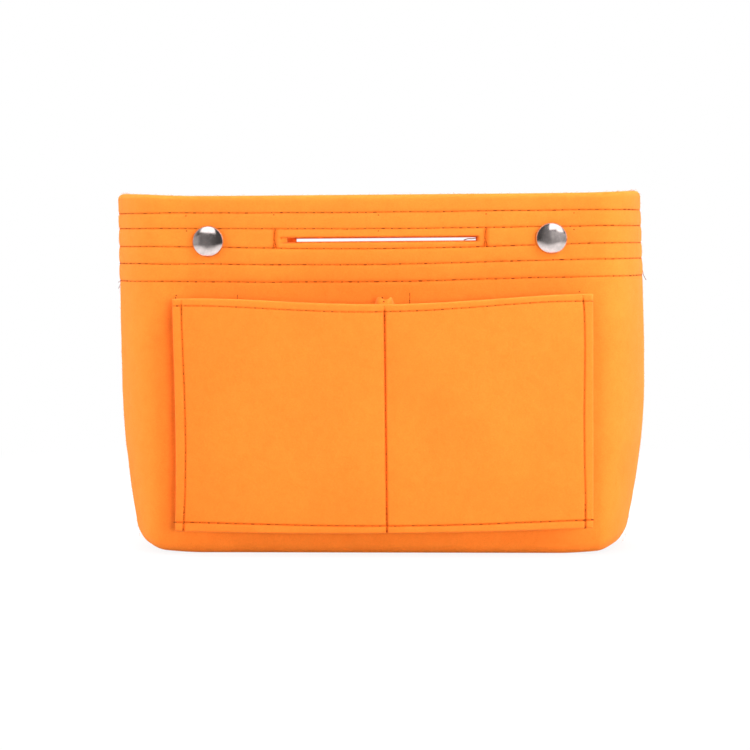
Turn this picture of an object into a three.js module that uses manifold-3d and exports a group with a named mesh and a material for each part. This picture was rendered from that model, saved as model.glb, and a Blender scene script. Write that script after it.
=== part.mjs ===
// A felt bag organiser: an open tub of sewn felt with a rounded base and ends, a stiff stitched rim,
// a hand slit in each long wall, bellows pockets outside, flat pockets inside and two snap fasteners.
// Millimetres, +Z up, +X along the length, the front towards -Y, the origin under the base's middle.

import * as THREE from "three";
import { mergeVertices } from "three/addons/utils/BufferGeometryUtils.js";
import Module from "manifold-3d";

// The tub: its outside sizes, and how its ends and foot are rounded.
const rimLength = 240;
const baseLength = 223;
const bodyDepth = 80;
const bodyHeight = 160; // at the middle of a long wall
const rimRise = 1.5; // how much higher the rim stands at its ends
const endReach = 23; // from the end of the flat long walls to the tip of the rim
const taperHeight = 70; // the ends draw in below this height
const taperPower = 1.8;
const footRadius = 6; // where the walls turn under to the base

// The felt, and the gaps between the layers that thread holds together.
const felt = 2.4;
const liningFelt = 1.8;
const layerGap = 0.3;
const foldGap = 0.4; // between the base and the walls that lean against it

// The hem folded into the rim, and the slit through both of its layers.
const hemDepth = 42;
const slitLength = 87;
const slitWidth = 2;
const slitBelowRim = 20;

// A bellows pocket on the outside of each long wall.
const pocketInset = 4.8; // from the ends of the flat wall to the pocket's edge
const pocketShift = 1.2; // both pockets sit a little towards +X
const pocketAboveBase = 11.5;
const pocketBelowHem = 4;
const pocketSag = 3; // how far the mouth dips at its middle
const gussetDepth = 9.6;
const gussetInset = 1.5; // the face's pinched edge stands past the gusset
const dividerSpread = 5; // half the distance between the divider's two feet

// The pocket row on the inside of each long wall: a pen pocket, then two wide ones.
const liningLeftInset = 6;
const liningRightInset = 9;
const penPocketWidth = 27.6;
const phonePocketWidth = 76.7;
const liningAboveBase = 8;
const liningBelowHem = 3.5;
const liningBulge = 8;
const liningRise = 12; // the height in which a pocket opens out above its bottom seam

// The snap fasteners, level with the slit.
const snapInset = 20.8; // from the ends of the flat wall to the snap's centre
const capDiameter = 13.2;
const capHeight = 3;
const capEdge = 0.9;
const postDiameter = 3.6;
const postGap = 0.3;
const flangeDiameter = 11;
const flangeHeight = 0.9;
const socketDiameter = 8.4;
const socketHeight = 3.4;
const studDiameter = 5;
const studNeckDiameter = 3.8;
const studHeight = 4;
const snapPlay = 0.2; // between the stud and the socket that grips it

// Places that follow from these sizes.
const halfDepth = bodyDepth / 2;
const cornerX = rimLength / 2 - endReach;
const hemBottom = bodyHeight - hemDepth;
const slitHeight = bodyHeight - slitBelowRim;
const snapX = cornerX - snapInset;
const hemFace = halfDepth - 2 * felt - layerGap; // the hem's inner face, from the middle plane

const wasm = await Module();
wasm.setup();

// A closed geometry as a solid that can be cut or joined.
function solidOf(geometry) {
  const bare = geometry.clone();
  bare.deleteAttribute("normal");
  bare.deleteAttribute("uv");
  const merged = mergeVertices(bare, 1e-4);
  return new wasm.Manifold(
    new wasm.Mesh({
      numProp: 3,
      vertProperties: merged.attributes.position.array,
      triVerts: new Uint32Array(merged.index.array),
    }),
  );
}

function geometryOf(solid) {
  const mesh = solid.getMesh();
  const geometry = new THREE.BufferGeometry();
  geometry.setAttribute("position", new THREE.BufferAttribute(mesh.vertProperties, 3));
  geometry.setIndex(new THREE.BufferAttribute(mesh.triVerts, 1));
  geometry.computeVertexNormals();
  return geometry;
}

// An outline in X and Z, given thickness from one distance in front of the middle plane to another.
function slab(shape, innerY, outerY) {
  const geometry = new THREE.ExtrudeGeometry(shape, {
    depth: outerY - innerY,
    bevelEnabled: false,
    curveSegments: 10,
  });
  return geometry.rotateX(Math.PI / 2).translate(0, -innerY, 0);
}

// An outline in X and Y, raised from one height to another.
function plate(shape, lowZ, highZ) {
  const geometry = new THREE.ExtrudeGeometry(shape, {
    depth: highZ - lowZ,
    bevelEnabled: false,
    curveSegments: 10,
  });
  return geometry.translate(0, 0, lowZ);
}

// A section in Y and Z, run along X from one place to another.
function bar(section, lowX, highX) {
  const geometry = new THREE.ExtrudeGeometry(new THREE.Shape(section), {
    depth: highX - lowX,
    bevelEnabled: false,
  });
  const alongX = new THREE.Matrix4().makeBasis(
    new THREE.Vector3(0, 1, 0),
    new THREE.Vector3(0, 0, 1),
    new THREE.Vector3(1, 0, 0),
  );
  return geometry.applyMatrix4(alongX).translate(lowX, 0, 0);
}

// A closed skin through equal rings of points. The first and last ring are flat in Y and Z.
function loft(rings) {
  const count = rings[0].length;
  const index = [];
  for (let i = 0; i + 1 < rings.length; i++) {
    for (let j = 0; j < count; j++) {
      const a = i * count + j;
      const b = i * count + ((j + 1) % count);
      index.push(a, a + count, b + count, a, b + count, b);
    }
  }
  closeRing(index, rings[0], 0, false);
  closeRing(index, rings.at(-1), (rings.length - 1) * count, true);
  const geometry = new THREE.BufferGeometry().setFromPoints(rings.flat());
  geometry.setIndex(index);
  geometry.computeVertexNormals();
  return geometry;
}

// Fills a ring with triangles that turn the same way round as it does, or the other way.
function closeRing(index, ring, offset, reversed) {
  const flat = ring.map((point) => new THREE.Vector2(point.y, point.z));
  const turn = Math.sign(THREE.ShapeUtils.area(flat)) * (reversed ? -1 : 1);
  for (const [a, b, c] of THREE.ShapeUtils.triangulateShape(flat, [])) {
    const sameWay = THREE.ShapeUtils.area([flat[a], flat[b], flat[c]]) * turn > 0;
    index.push(offset + a, offset + (sameWay ? b : c), offset + (sameWay ? c : b));
  }
}

// The rim dips in a shallow curve between its ends.
function rimHeight(x) {
  return bodyHeight + rimRise * (x / (rimLength / 2)) ** 2;
}

// Half the outside length of the tub at a height.
function halfLength(z) {
  const low = Math.max(0, (taperHeight - z) / taperHeight);
  return rimLength / 2 - ((rimLength - baseLength) / 2) * low ** taperPower;
}

// A point of the rounded +X end: turned from the front, 0, to the back, PI, and set in from the outside.
function endPoint(turn, inset, z) {
  const reach = halfLength(z) - cornerX - inset;
  return new THREE.Vector3(
    cornerX + reach * Math.sin(turn),
    -(halfDepth - inset) * Math.cos(turn),
    z,
  );
}

// The long wall's outline, or the hem's: the rim on top, the slit and the holes of the snap posts.
function bandOutline(lowerEdge) {
  const edge = cornerX - layerGap;
  const shape = new THREE.Shape();
  shape.moveTo(-edge, lowerEdge);
  shape.lineTo(edge, lowerEdge);
  shape.lineTo(edge, rimHeight(edge));
  shape.quadraticCurveTo(0, 2 * bodyHeight - rimHeight(edge), -edge, rimHeight(edge));
  const slit = new THREE.Path();
  const slitEnd = (slitLength - slitWidth) / 2;
  slit.absarc(slitEnd, slitHeight, slitWidth / 2, -Math.PI / 2, Math.PI / 2);
  slit.absarc(-slitEnd, slitHeight, slitWidth / 2, Math.PI / 2, (3 * Math.PI) / 2);
  const holeRadius = postDiameter / 2 + postGap;
  const holes = [-snapX, snapX].map((x) =>
    new THREE.Path().absarc(x, slitHeight, holeRadius, 0, 2 * Math.PI),
  );
  shape.holes.push(slit, ...holes);
  return shape;
}

// The wall's section as inset and height: up the outer face from the seam with the base, down the inner.
function wallSection(top) {
  const outer = [];
  const inner = [];
  const footSteps = 4;
  for (let i = 0; i <= footSteps; i++) {
    const angle = ((i / footSteps) * Math.PI) / 2;
    const innerRadius = footRadius - felt;
    outer.push([
      footRadius - footRadius * Math.sin(angle),
      footRadius - footRadius * Math.cos(angle),
    ]);
    inner.push([
      footRadius - innerRadius * Math.sin(angle),
      footRadius - innerRadius * Math.cos(angle),
    ]);
  }
  const taperSteps = 4;
  for (let i = 1; i <= taperSteps; i++) {
    const z = footRadius + ((taperHeight - footRadius) * i) / taperSteps;
    outer.push([0, z]);
    inner.push([felt, z]);
  }
  outer.push([0, top]);
  inner.push([felt, top]);
  return [...outer, ...inner.reverse()];
}

// A long wall: the wall section run along X, trimmed to the outline with the slit.
function longWall() {
  const edge = cornerX - layerGap;
  const section = wallSection(rimHeight(edge) + 1).map(
    ([inset, z]) => new THREE.Vector2(inset - halfDepth, z),
  );
  const run = solidOf(bar(section, -edge, edge));
  const outline = solidOf(slab(bandOutline(-1), 0, bodyDepth));
  return geometryOf(run.intersect(outline));
}

// The hem of a long wall: the rim's felt folded in and down behind it.
function longHem() {
  return slab(bandOutline(hemBottom), hemFace, hemFace + felt);
}

const endTurns = Array.from({ length: 17 }, (_, i) => (i / 16) * Math.PI);

// A rounded end, from the end of the front wall round to the end of the back wall.
function endWall() {
  return loft(
    endTurns.map((turn) => {
      const top = rimHeight(endPoint(turn, 0, bodyHeight).x);
      return wallSection(top).map(([inset, z]) => endPoint(turn, inset, z));
    }),
  );
}

// The hem of a rounded end.
function endHem() {
  const outside = felt + layerGap;
  const inside = 2 * felt + layerGap;
  return loft(
    endTurns.map((turn) => {
      const top = rimHeight(endPoint(turn, 0, bodyHeight).x);
      return [
        endPoint(turn, outside, hemBottom),
        endPoint(turn, outside, top),
        endPoint(turn, inside, top),
        endPoint(turn, inside, hemBottom),
      ];
    }),
  );
}

// The base: its edge meets the feet of the walls.
function basePanel() {
  const halfWidth = halfDepth - footRadius - foldGap;
  const reach = baseLength / 2 - cornerX - footRadius - foldGap;
  const shape = new THREE.Shape();
  shape.absellipse(cornerX, 0, reach, halfWidth, -Math.PI / 2, Math.PI / 2);
  shape.absellipse(-cornerX, 0, reach, halfWidth, Math.PI / 2, (3 * Math.PI) / 2);
  return plate(shape, 0, felt);
}

// The outside pocket's edges, and the distances of its layers from the middle plane.
const pocketLeft = pocketShift - (cornerX - pocketInset);
const pocketRight = pocketShift + (cornerX - pocketInset);
const pocketTop = hemBottom - pocketBelowHem;
const gussetInnerY = halfDepth + layerGap;
const gussetOuterY = gussetInnerY + gussetDepth;

// The pocket's face, whose mouth sags between its top corners.
function pocketFace() {
  const shape = new THREE.Shape();
  shape.moveTo(pocketLeft, pocketAboveBase);
  shape.lineTo(pocketRight, pocketAboveBase);
  shape.lineTo(pocketRight, pocketTop);
  shape.quadraticCurveTo(pocketShift, pocketTop - 2 * pocketSag, pocketLeft, pocketTop);
  return slab(shape, gussetOuterY + layerGap, gussetOuterY + layerGap + felt);
}

// One strip that runs down, along and up the pocket's three closed sides.
function pocketGusset() {
  const left = pocketLeft + gussetInset;
  const right = pocketRight - gussetInset;
  const bottom = pocketAboveBase + gussetInset;
  const shape = new THREE.Shape();
  shape.moveTo(left, bottom);
  shape.lineTo(right, bottom);
  shape.lineTo(right, pocketTop);
  shape.lineTo(right - felt, pocketTop);
  shape.lineTo(right - felt, bottom + felt);
  shape.lineTo(left + felt, bottom + felt);
  shape.lineTo(left + felt, pocketTop);
  shape.lineTo(left, pocketTop);
  return slab(shape, gussetInnerY, gussetOuterY);
}

// A folded strip that parts the pocket in two: its fold is sewn to the face, its two feet to the wall.
function pocketDivider() {
  const foot = dividerSpread;
  const fold = liningFelt;
  const shape = new THREE.Shape();
  shape.moveTo(pocketShift - foot - fold, -gussetInnerY);
  shape.lineTo(pocketShift - fold, -gussetOuterY);
  shape.lineTo(pocketShift + fold, -gussetOuterY);
  shape.lineTo(pocketShift + foot + fold, -gussetInnerY);
  shape.lineTo(pocketShift + foot - fold, -gussetInnerY);
  shape.lineTo(pocketShift, -gussetOuterY + 2 * fold);
  shape.lineTo(pocketShift - foot + fold, -gussetInnerY);
  const bottom = pocketAboveBase + gussetInset + felt + layerGap;
  return plate(shape, bottom, pocketTop - pocketSag);
}

// The seams of the inside pocket row, from -X to +X.
const liningSeams = [
  -(cornerX - liningLeftInset),
  -(cornerX - liningLeftInset) + penPocketWidth,
  -(cornerX - liningLeftInset) + penPocketWidth + phonePocketWidth,
  cornerX - liningRightInset,
];
const liningTop = hemBottom - liningBelowHem;

// How far the inside row stands off the wall between two seams, 0 at a seam, above its bottom seam.
function liningStandOff(across, z) {
  const open = 1 - (2 * across - 1) ** 4;
  const rise = Math.min(1, (z - liningAboveBase) / liningRise);
  return liningBulge * open * Math.sqrt(rise * (2 - rise));
}

// One panel sewn flat to the wall at its seams and bottom, and standing off it in between.
function liningPanel() {
  const wallY = -(halfDepth - felt - layerGap);
  const acrossSteps = 8;
  const heights = [0, 0.15, 0.4, 0.7, 1].map((share) => liningAboveBase + liningRise * share);
  heights.push(liningTop);
  const rings = [];
  for (let pocket = 0; pocket + 1 < liningSeams.length; pocket++) {
    const first = pocket === 0 ? 0 : 1; // the seam's own ring is there already
    for (let i = first; i <= acrossSteps; i++) {
      const across = i / acrossSteps;
      const x = THREE.MathUtils.lerp(liningSeams[pocket], liningSeams[pocket + 1], across);
      const back = heights.map(
        (z) => new THREE.Vector3(x, wallY + liningStandOff(across, z), z),
      );
      const front = heights.map(
        (z) => new THREE.Vector3(x, wallY + liningStandOff(across, z) + liningFelt, z),
      );
      rings.push([...back, ...front.reverse()]);
    }
  }
  return loft(rings);
}

// A turned part of a snap. Its profile is radius and height above the felt, which faces -Y.
function turned(profile) {
  const points = profile.map(([radius, height]) => new THREE.Vector2(radius, height));
  return new THREE.LatheGeometry(points, 24).rotateZ(Math.PI);
}

// The domed cap, and the post that runs from it through both layers of felt.
function snapCap() {
  const radius = capDiameter / 2;
  const postLength = 2 * felt + 2 * layerGap + flangeHeight;
  const profile = [
    [0, -postLength],
    [postDiameter / 2, -postLength],
    [postDiameter / 2, 0],
    [radius - 0.4, 0],
    [radius, capEdge * 0.4],
    [radius - 0.1, capEdge],
  ];
  const domeSteps = 5;
  for (let i = 1; i <= domeSteps; i++) {
    const angle = ((i / domeSteps) * Math.PI) / 2;
    profile.push([
      (radius - 0.1) * Math.cos(angle),
      capEdge + (capHeight - capEdge) * Math.sin(angle),
    ]);
  }
  profile[profile.length - 1][0] = 0;
  return turned(profile);
}

// The flat eyelet whose post holds the stud: the outer side of a snap on the back wall.
function snapEyelet() {
  const postLength = 2 * felt + 2 * layerGap + flangeHeight;
  return turned([
    [0, -postLength],
    [postDiameter / 2, -postLength],
    [postDiameter / 2, 0],
    [flangeDiameter / 2, 0],
    [flangeDiameter / 2, flangeHeight * 0.6],
    [flangeDiameter / 2 - 0.5, flangeHeight],
    [postDiameter / 2, flangeHeight],
    [postDiameter / 2 - 0.6, 0],
    [0, 0],
  ]);
}

// The cup on the inner side of the front wall, which grips the stud.
function snapSocket() {
  const bore = postDiameter / 2 + postGap;
  const grip = studDiameter / 2 + snapPlay;
  return turned([
    [bore, 0],
    [flangeDiameter / 2, 0],
    [flangeDiameter / 2, flangeHeight],
    [socketDiameter / 2, flangeHeight + 0.3],
    [socketDiameter / 2, socketHeight],
    [grip, socketHeight],
    [grip, flangeHeight + layerGap],
    [bore, flangeHeight + layerGap],
    [bore, 0],
  ]);
}

// The stud on the inner side of the back wall.
function snapStud() {
  const bore = postDiameter / 2 + postGap;
  const head = studDiameter / 2;
  return turned([
    [0, flangeHeight + layerGap],
    [bore, flangeHeight + layerGap],
    [bore, 0],
    [flangeDiameter / 2, 0],
    [flangeDiameter / 2, flangeHeight],
    [studNeckDiameter / 2 + 0.6, flangeHeight + 0.3],
    [studNeckDiameter / 2, studHeight * 0.5],
    [head, studHeight * 0.72],
    [head * 0.8, studHeight * 0.93],
    [0, studHeight],
  ]);
}

function orangeFelt() {
  return new THREE.MeshStandardMaterial({ color: 0xff9434, roughness: 0.95, metalness: 0 });
}

function bareMetal() {
  return new THREE.MeshStandardMaterial({ color: 0xd4d4d6, roughness: 0.15, metalness: 1 });
}

function add(group, name, geometry, material) {
  const mesh = new THREE.Mesh(geometry, material);
  mesh.name = name;
  group.add(mesh);
  return mesh;
}

const organiser = new THREE.Group();
add(organiser, "base_panel", basePanel(), orangeFelt());

// The back is the front's mirror image, and -X is +X's.
for (const [side, mirror] of [["front", 1], ["back", -1]]) {
  const group = new THREE.Group();
  group.scale.y = mirror;
  organiser.add(group);
  add(group, `${side}_wall`, longWall(), orangeFelt());
  add(group, `${side}_rim_facing`, longHem(), orangeFelt());
  add(group, `${side}_pocket_face`, pocketFace(), orangeFelt());
  add(group, `${side}_pocket_gusset`, pocketGusset(), orangeFelt());
  add(group, `${side}_pocket_divider`, pocketDivider(), orangeFelt());
  add(group, `inner_${side}_pocket_panel`, liningPanel(), orangeFelt());
  for (const [hand, x] of [["left", -snapX], ["right", snapX]]) {
    const outer = side === "front" ? ["cap", snapCap()] : ["eyelet", snapEyelet()];
    const inner = side === "front" ? ["socket", snapSocket()] : ["stud", snapStud()];
    const outside = add(group, `${side}_snap_${outer[0]}_${hand}`, outer[1], bareMetal());
    outside.position.set(x, -(halfDepth + layerGap), slitHeight);
    const inside = add(group, `${side}_snap_${inner[0]}_${hand}`, inner[1], bareMetal());
    inside.position.set(x, -(hemFace - layerGap), slitHeight);
    inside.rotation.z = Math.PI;
  }
}

for (const [hand, mirror] of [["right", 1], ["left", -1]]) {
  const group = new THREE.Group();
  group.scale.x = mirror;
  organiser.add(group);
  add(group, `${hand}_end_wall`, endWall(), orangeFelt());
  add(group, `${hand}_rim_facing`, endHem(), orangeFelt());
}

export default organiser;
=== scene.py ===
# A felt bag organiser: a sewn tub of thick orange felt with a stitched rim, a hand slit in each long
# wall, bellows pockets outside, flat pockets inside and two snap fasteners. Shapes are worked out in
# millimetres and become metres when a mesh is made. The front faces -Y, and +Z is up.

import math

import bmesh
import bpy
import numpy as np
from mathutils import Matrix, Vector


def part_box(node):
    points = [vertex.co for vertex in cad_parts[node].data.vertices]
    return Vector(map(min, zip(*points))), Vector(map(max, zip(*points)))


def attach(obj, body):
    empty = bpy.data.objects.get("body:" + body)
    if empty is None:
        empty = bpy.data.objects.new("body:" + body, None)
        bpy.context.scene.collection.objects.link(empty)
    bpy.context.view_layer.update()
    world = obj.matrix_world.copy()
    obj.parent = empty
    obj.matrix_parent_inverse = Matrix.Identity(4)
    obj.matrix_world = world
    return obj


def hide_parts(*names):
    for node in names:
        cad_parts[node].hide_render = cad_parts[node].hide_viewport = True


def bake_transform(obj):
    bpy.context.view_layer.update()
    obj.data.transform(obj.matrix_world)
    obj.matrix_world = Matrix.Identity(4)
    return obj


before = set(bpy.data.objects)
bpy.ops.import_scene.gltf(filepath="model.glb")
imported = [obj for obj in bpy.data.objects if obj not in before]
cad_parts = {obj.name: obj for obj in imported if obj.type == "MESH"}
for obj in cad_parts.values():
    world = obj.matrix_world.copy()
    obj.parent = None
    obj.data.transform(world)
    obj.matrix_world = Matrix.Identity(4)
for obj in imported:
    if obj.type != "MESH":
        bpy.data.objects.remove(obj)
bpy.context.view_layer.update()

# The base: one flat panel cut from the same felt as the walls, a long oval whose edge is sewn against
# the feet of the walls. Being needled wool, the felt is soft edged, slightly uneven and mottled.

MM = 0.001
felt_thick = 2.4
felt_orange = (1.0, 0.262, 0.030, 1)
# felt pressed flat under thread; the same deeper colour also serves as painted shade
pressed_and_shade_orange = (0.84, 0.117, 0.006, 1)
edge_radius = 0.9  # how far in from a cut edge the felt's faces round over


def node_box(node):
    """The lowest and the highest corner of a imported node, in millimetres."""
    low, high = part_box(node)
    return np.array(low) / MM, np.array(high) / MM


def unevenness(first, second, size, seed):
    """Slow waves between about -1 and 1 over two coordinates: seven plane sines with any direction
    and phase, whose wavelengths are 0.7 to 1.6 times the given size."""
    draw = np.random.default_rng(seed)
    heading = draw.uniform(0, 2 * np.pi, 7)
    length = size * draw.uniform(0.7, 1.6, 7)
    phase = draw.uniform(0, 2 * np.pi, 7)
    first, second = np.broadcast_arrays(first, second)
    way = first[..., None] * np.cos(heading) + second[..., None] * np.sin(heading)
    return np.sin(2 * np.pi * way / length + phase).sum(-1) / 4


def points_of(x, y, z):
    """Points from three coordinates, each of which may be one value, a row, a column or a grid."""
    return np.stack(np.broadcast_arrays(x, y, z), -1)


def rounding(distance, radius=edge_radius):
    """How far a face falls away at a distance from its cut edge: a quarter circle of the radius."""
    short = np.clip(1 - distance / radius, 0, 1)
    return radius * (1 - np.sqrt(1 - short**2))


def smooth_step(value):
    """0 below 0, 1 above 1, and the cubic 3v2 - 2v3 between."""
    v = np.clip(value, 0, 1)
    return v * v * (3 - 2 * v)


def grid_quads(rows, columns, start=0, wrap=False):
    """Each point of a rows by columns grid joined to its three neighbours further on as a quad. With
    wrap the last column joins the first one again."""
    i, j = np.meshgrid(np.arange(rows - 1), np.arange(columns - (not wrap)), indexing="ij")
    here = start + i * columns + j
    beside = start + i * columns + (j + 1) % columns
    return np.stack([here, here + columns, beside + columns, beside], -1).reshape(-1, 4)


def strip_quads(first, second):
    """Quads between two lines of point numbers of the same length."""
    return np.stack([first[:-1], first[1:], second[1:], second[:-1]], -1)


def add_object(name, data):
    """An object that shows the data, in the scene."""
    item = bpy.data.objects.new(name, data)
    bpy.context.scene.collection.objects.link(item)
    return item


def mark_points(mesh, mark, values):
    """A value for each of the mesh's points, which a material reads by the mark's name."""
    layer = mesh.attributes.new(mark, "FLOAT", "POINT")
    layer.data.foreach_set("value", np.asarray(values).astype(np.float32).ravel())


def mesh_object(name, points, quads, materials, kinds=None, marks=None):
    """A mesh of the quads in metres, with its doubles merged, its faces turned outward and its creases
    over 55 degrees kept sharp. kinds picks each quad's material, and marks are values per point."""
    mesh = bpy.data.meshes.new(name)
    mesh.vertices.add(len(points))
    mesh.vertices.foreach_set("co", (np.asarray(points) * MM).astype(np.float32).ravel())
    mesh.loops.add(quads.size)
    mesh.loops.foreach_set("vertex_index", quads.astype(np.int32).ravel())
    mesh.polygons.add(len(quads))
    mesh.polygons.foreach_set("loop_start", np.arange(0, quads.size, 4, dtype=np.int32))
    for material in materials:
        mesh.materials.append(material)
    if kinds is not None:
        mesh.polygons.foreach_set("material_index", kinds.astype(np.int32))
    for mark, values in (marks or {}).items():
        mark_points(mesh, mark, values)
    mesh.update(calc_edges=True)
    body = bmesh.new()
    body.from_mesh(mesh)
    bmesh.ops.remove_doubles(body, verts=body.verts, dist=1e-6)
    bmesh.ops.recalc_face_normals(body, faces=body.faces)
    body.to_mesh(mesh)
    body.free()
    mesh.polygons.foreach_set("use_smooth", np.ones(len(mesh.polygons), dtype=bool))
    mesh.set_sharp_from_angle(angle=math.radians(55))
    return add_object(name, mesh)


def felt_mesh(name, outer, inner, material, pressed_and_shade=None, gap=None, lip=None):
    """A closed piece of felt from two grids of points, its outer and its inner face, joined round
    their borders. gap marks the quads left out of both faces, and lip is a grid that lines the
    opening, outer edge first: each of its points with how much its colour is deepened, by pressing
    and by painted shade."""
    rows, columns = outer.shape[:2]
    size = rows * columns
    number = np.arange(size).reshape(rows, columns)
    face = grid_quads(rows, columns)
    if gap is not None:
        face = face[~gap.ravel()]
    quads = [face, face[:, ::-1] + size]
    whole = np.zeros((rows - 1, columns - 1), bool) if gap is None else gap
    borders = [(number[0], whole[0]), (number[-1], whole[-1])]
    borders += [(number[:, 0], whole[:, 0]), (number[:, -1], whole[:, -1])]
    for border, left_out in borders:
        quads.append(strip_quads(border, border + size)[~left_out])
    points = [outer.reshape(-1, 3), inner.reshape(-1, 3)]
    if pressed_and_shade is None:
        pressed_and_shade = np.zeros((rows, columns))
    marks = [pressed_and_shade.ravel(), pressed_and_shade.ravel()]
    if lip is not None:
        points.append(lip[..., :3].reshape(-1, 3))
        quads.append(grid_quads(*lip.shape[:2], start=2 * size))
        marks.append(lip[..., 3].ravel())
    piece = mesh_object(
        name, np.concatenate(points), np.concatenate(quads), [material],
        marks={"pressed_and_shade": np.concatenate(marks)},
    )
    return piece


def new_material(name):
    """A material that uses nodes, its node tree and its shader."""
    material = bpy.data.materials.new(name)
    material.use_nodes = True
    return material, material.node_tree, material.node_tree.nodes["Principled BSDF"]


def set_inputs(tree, node, **inputs):
    """Links or sets each input of a node, by its name or as _ and its number, to a socket or a value."""
    for key, value in inputs.items():
        socket = node.inputs[int(key[1:])] if key[0] == "_" else node.inputs[key.replace("_", " ")]
        if isinstance(value, bpy.types.NodeSocket):
            tree.links.new(value, socket)
        else:
            socket.default_value = value


def shader_node(tree, kind, settings=None, **inputs):
    """A shader node with its settings and inputs."""
    node = tree.nodes.new(kind)
    for key, value in (settings or {}).items():
        setattr(node, key, value)
    set_inputs(tree, node, **inputs)
    return node


def object_place(tree):
    """The place in the object, in metres, by which a material lays out its pattern."""
    return tree.nodes.new("ShaderNodeTexCoord").outputs["Object"]


def noise(tree, place, scale, detail, roughness=0.5, distortion=0.0, kind="FBM"):
    """A noise pattern's value, from 0 to 1."""
    return shader_node(
        tree, "ShaderNodeTexNoise", {"noise_type": kind}, Vector=place, Scale=scale, Detail=detail,
        Roughness=roughness, Distortion=distortion,
    ).outputs["Fac"]


def mapped(tree, value, low, high, to_low, to_high):
    """A value from low to high mapped to the range from to_low to to_high, and held at its ends."""
    return shader_node(
        tree, "ShaderNodeMapRange", Value=value, From_Min=low, From_Max=high,
        To_Min=to_low, To_Max=to_high,
    ).outputs["Result"]


def bumped(tree, height, strength, distance, **under):
    """The normal of a surface with a height pattern on it, over the normal given as Normal, if any."""
    return shader_node(
        tree, "ShaderNodeBump", Strength=strength, Distance=distance, Height=height, **under
    ).outputs["Normal"]


def ramp(tree, factor, stops):
    """The colour that a ramp through (place, colour) stops gives for a factor."""
    node = tree.nodes.new("ShaderNodeValToRGB")
    tree.links.new(factor, node.inputs[0])
    while len(node.color_ramp.elements) < len(stops):
        node.color_ramp.elements.new(0.5)
    for element, (place, colour) in zip(node.color_ramp.elements, stops):
        element.position = place
        element.color = (*colour, 1)
    return node.outputs["Color"]


def times(tree, first, second):
    """Two colours multiplied."""
    mix = {"data_type": "RGBA", "blend_type": "MULTIPLY"}
    return shader_node(tree, "ShaderNodeMix", mix, Factor=1.0, _6=first, _7=second).outputs[2]


def felt_finish(name):
    """Needled wool felt. Its colour is mottled at three scales: clouds of a few centimetres, tufts of
    some millimetres and single fibres. Where thread presses it flat it is deeper in colour, and the
    same deeper colour is painted shade in the hollow above the outside pocket, in the hand slit,
    round the back slit's ends and towards the pocket's foot."""
    material, tree, shader = new_material(name)
    place = object_place(tree)
    clouds = noise(tree, place, 30, 2)
    tufts = noise(tree, place, 210, 4, 0.6, 0.4)
    fibres = noise(tree, place, 1500, 5, 0.75, 1.5)
    hairs = noise(tree, place, 800, 3, 0.6, 2.5, "RIDGED_MULTIFRACTAL")
    pressed_and_shade = shader_node(tree, "ShaderNodeAttribute", {"attribute_name": "pressed_and_shade"}).outputs["Fac"]
    # The mark deepens the colour for felt pressed under thread, and as painted shade where it lies in
    # shade.
    colour = shader_node(
        tree, "ShaderNodeMix", {"data_type": "RGBA"}, Factor=pressed_and_shade, _6=felt_orange, _7=pressed_and_shade_orange
    ).outputs[2]
    for pattern, low, dark, high in (
        (clouds, 0.3, (0.95, 0.92, 0.90), 0.7),
        (tufts, 0.3, (0.96, 0.93, 0.90), 0.68),
        (fibres, 0.25, (0.84, 0.78, 0.70), 0.62),
    ):
        colour = times(tree, colour, ramp(tree, pattern, [(low, dark), (high, (1, 1, 1))]))
    sum_with = {"operation": "MULTIPLY_ADD"}
    nap = shader_node(tree, "ShaderNodeMath", sum_with, _0=hairs, _1=0.35, _2=fibres)
    fine = bumped(tree, nap.outputs[0], 0.55, 0.00022)
    set_inputs(
        tree, shader, Base_Color=colour, Roughness=mapped(tree, tufts, 0.3, 0.7, 0.96, 0.86),
        Normal=bumped(tree, tufts, 0.6, 0.0005, Normal=fine), Specular_IOR_Level=0.18,
        Sheen_Weight=0.22, Sheen_Roughness=0.5, Sheen_Tint=(1.0, 0.66, 0.22, 1),
    )
    return material


felt = felt_finish("orange_felt")
base_low, base_high = node_box("base_panel")
layer_gap = 0.3
tip_past_left = 1.5  # how far the tips reach past the oval, to meet the feet of the walls
tip_past_right = 0.3
corner_x = node_box("front_wall")[1][0] + layer_gap  # where the straight long walls end


def foot_lift(x):
    """How far the underside rises towards the two ends, which nothing presses down."""
    return 2.4 * np.clip((np.abs(x) - 80) / 30, 0, 1) ** 1.6


def base_face(height, turned_up):
    """The base's top or bottom face as a grid. Each column is a chord of the oval: its half width is
    constant along the straight, then that of an ellipse. The face rounds over at the edge, and is
    drawn out at its tips by a quadratic of the way along it."""
    way = np.sin(np.linspace(-0.5, 0.5, 161) * np.pi)[:, None]
    x = way * base_high[0]
    past = np.clip((np.abs(x) - corner_x) / (base_high[0] - corner_x), 0, 1)
    half = base_high[1] * np.sqrt(1 - past**2)
    y = half * np.sin(np.linspace(-0.5, 0.5, 49) * np.pi)[None, :]
    edge = np.minimum(half - np.abs(y), base_high[0] - np.abs(x))
    z = height + foot_lift(x) + turned_up * (0.15 * unevenness(x, y, 26, 3) - rounding(edge))
    drawn = way * (tip_past_right + tip_past_left) / 2 + way**2 * (tip_past_right - tip_past_left) / 2
    return points_of(x + drawn, y, z)


base_panel = felt_mesh(
    "felt_base_panel", base_face(base_high[2], 1), base_face(base_low[2] + 0.2, -0.5), felt
)
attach(base_panel, "tub")
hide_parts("base_panel")

# The wall: a front and a back panel of felt, sewn to the base along their feet and to each other at the
# ends' tips, hemmed inward at the top and slit through both layers. Each is made in two halves: a half
# runs along its wall to the corner, then round the end to the tip.

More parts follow.
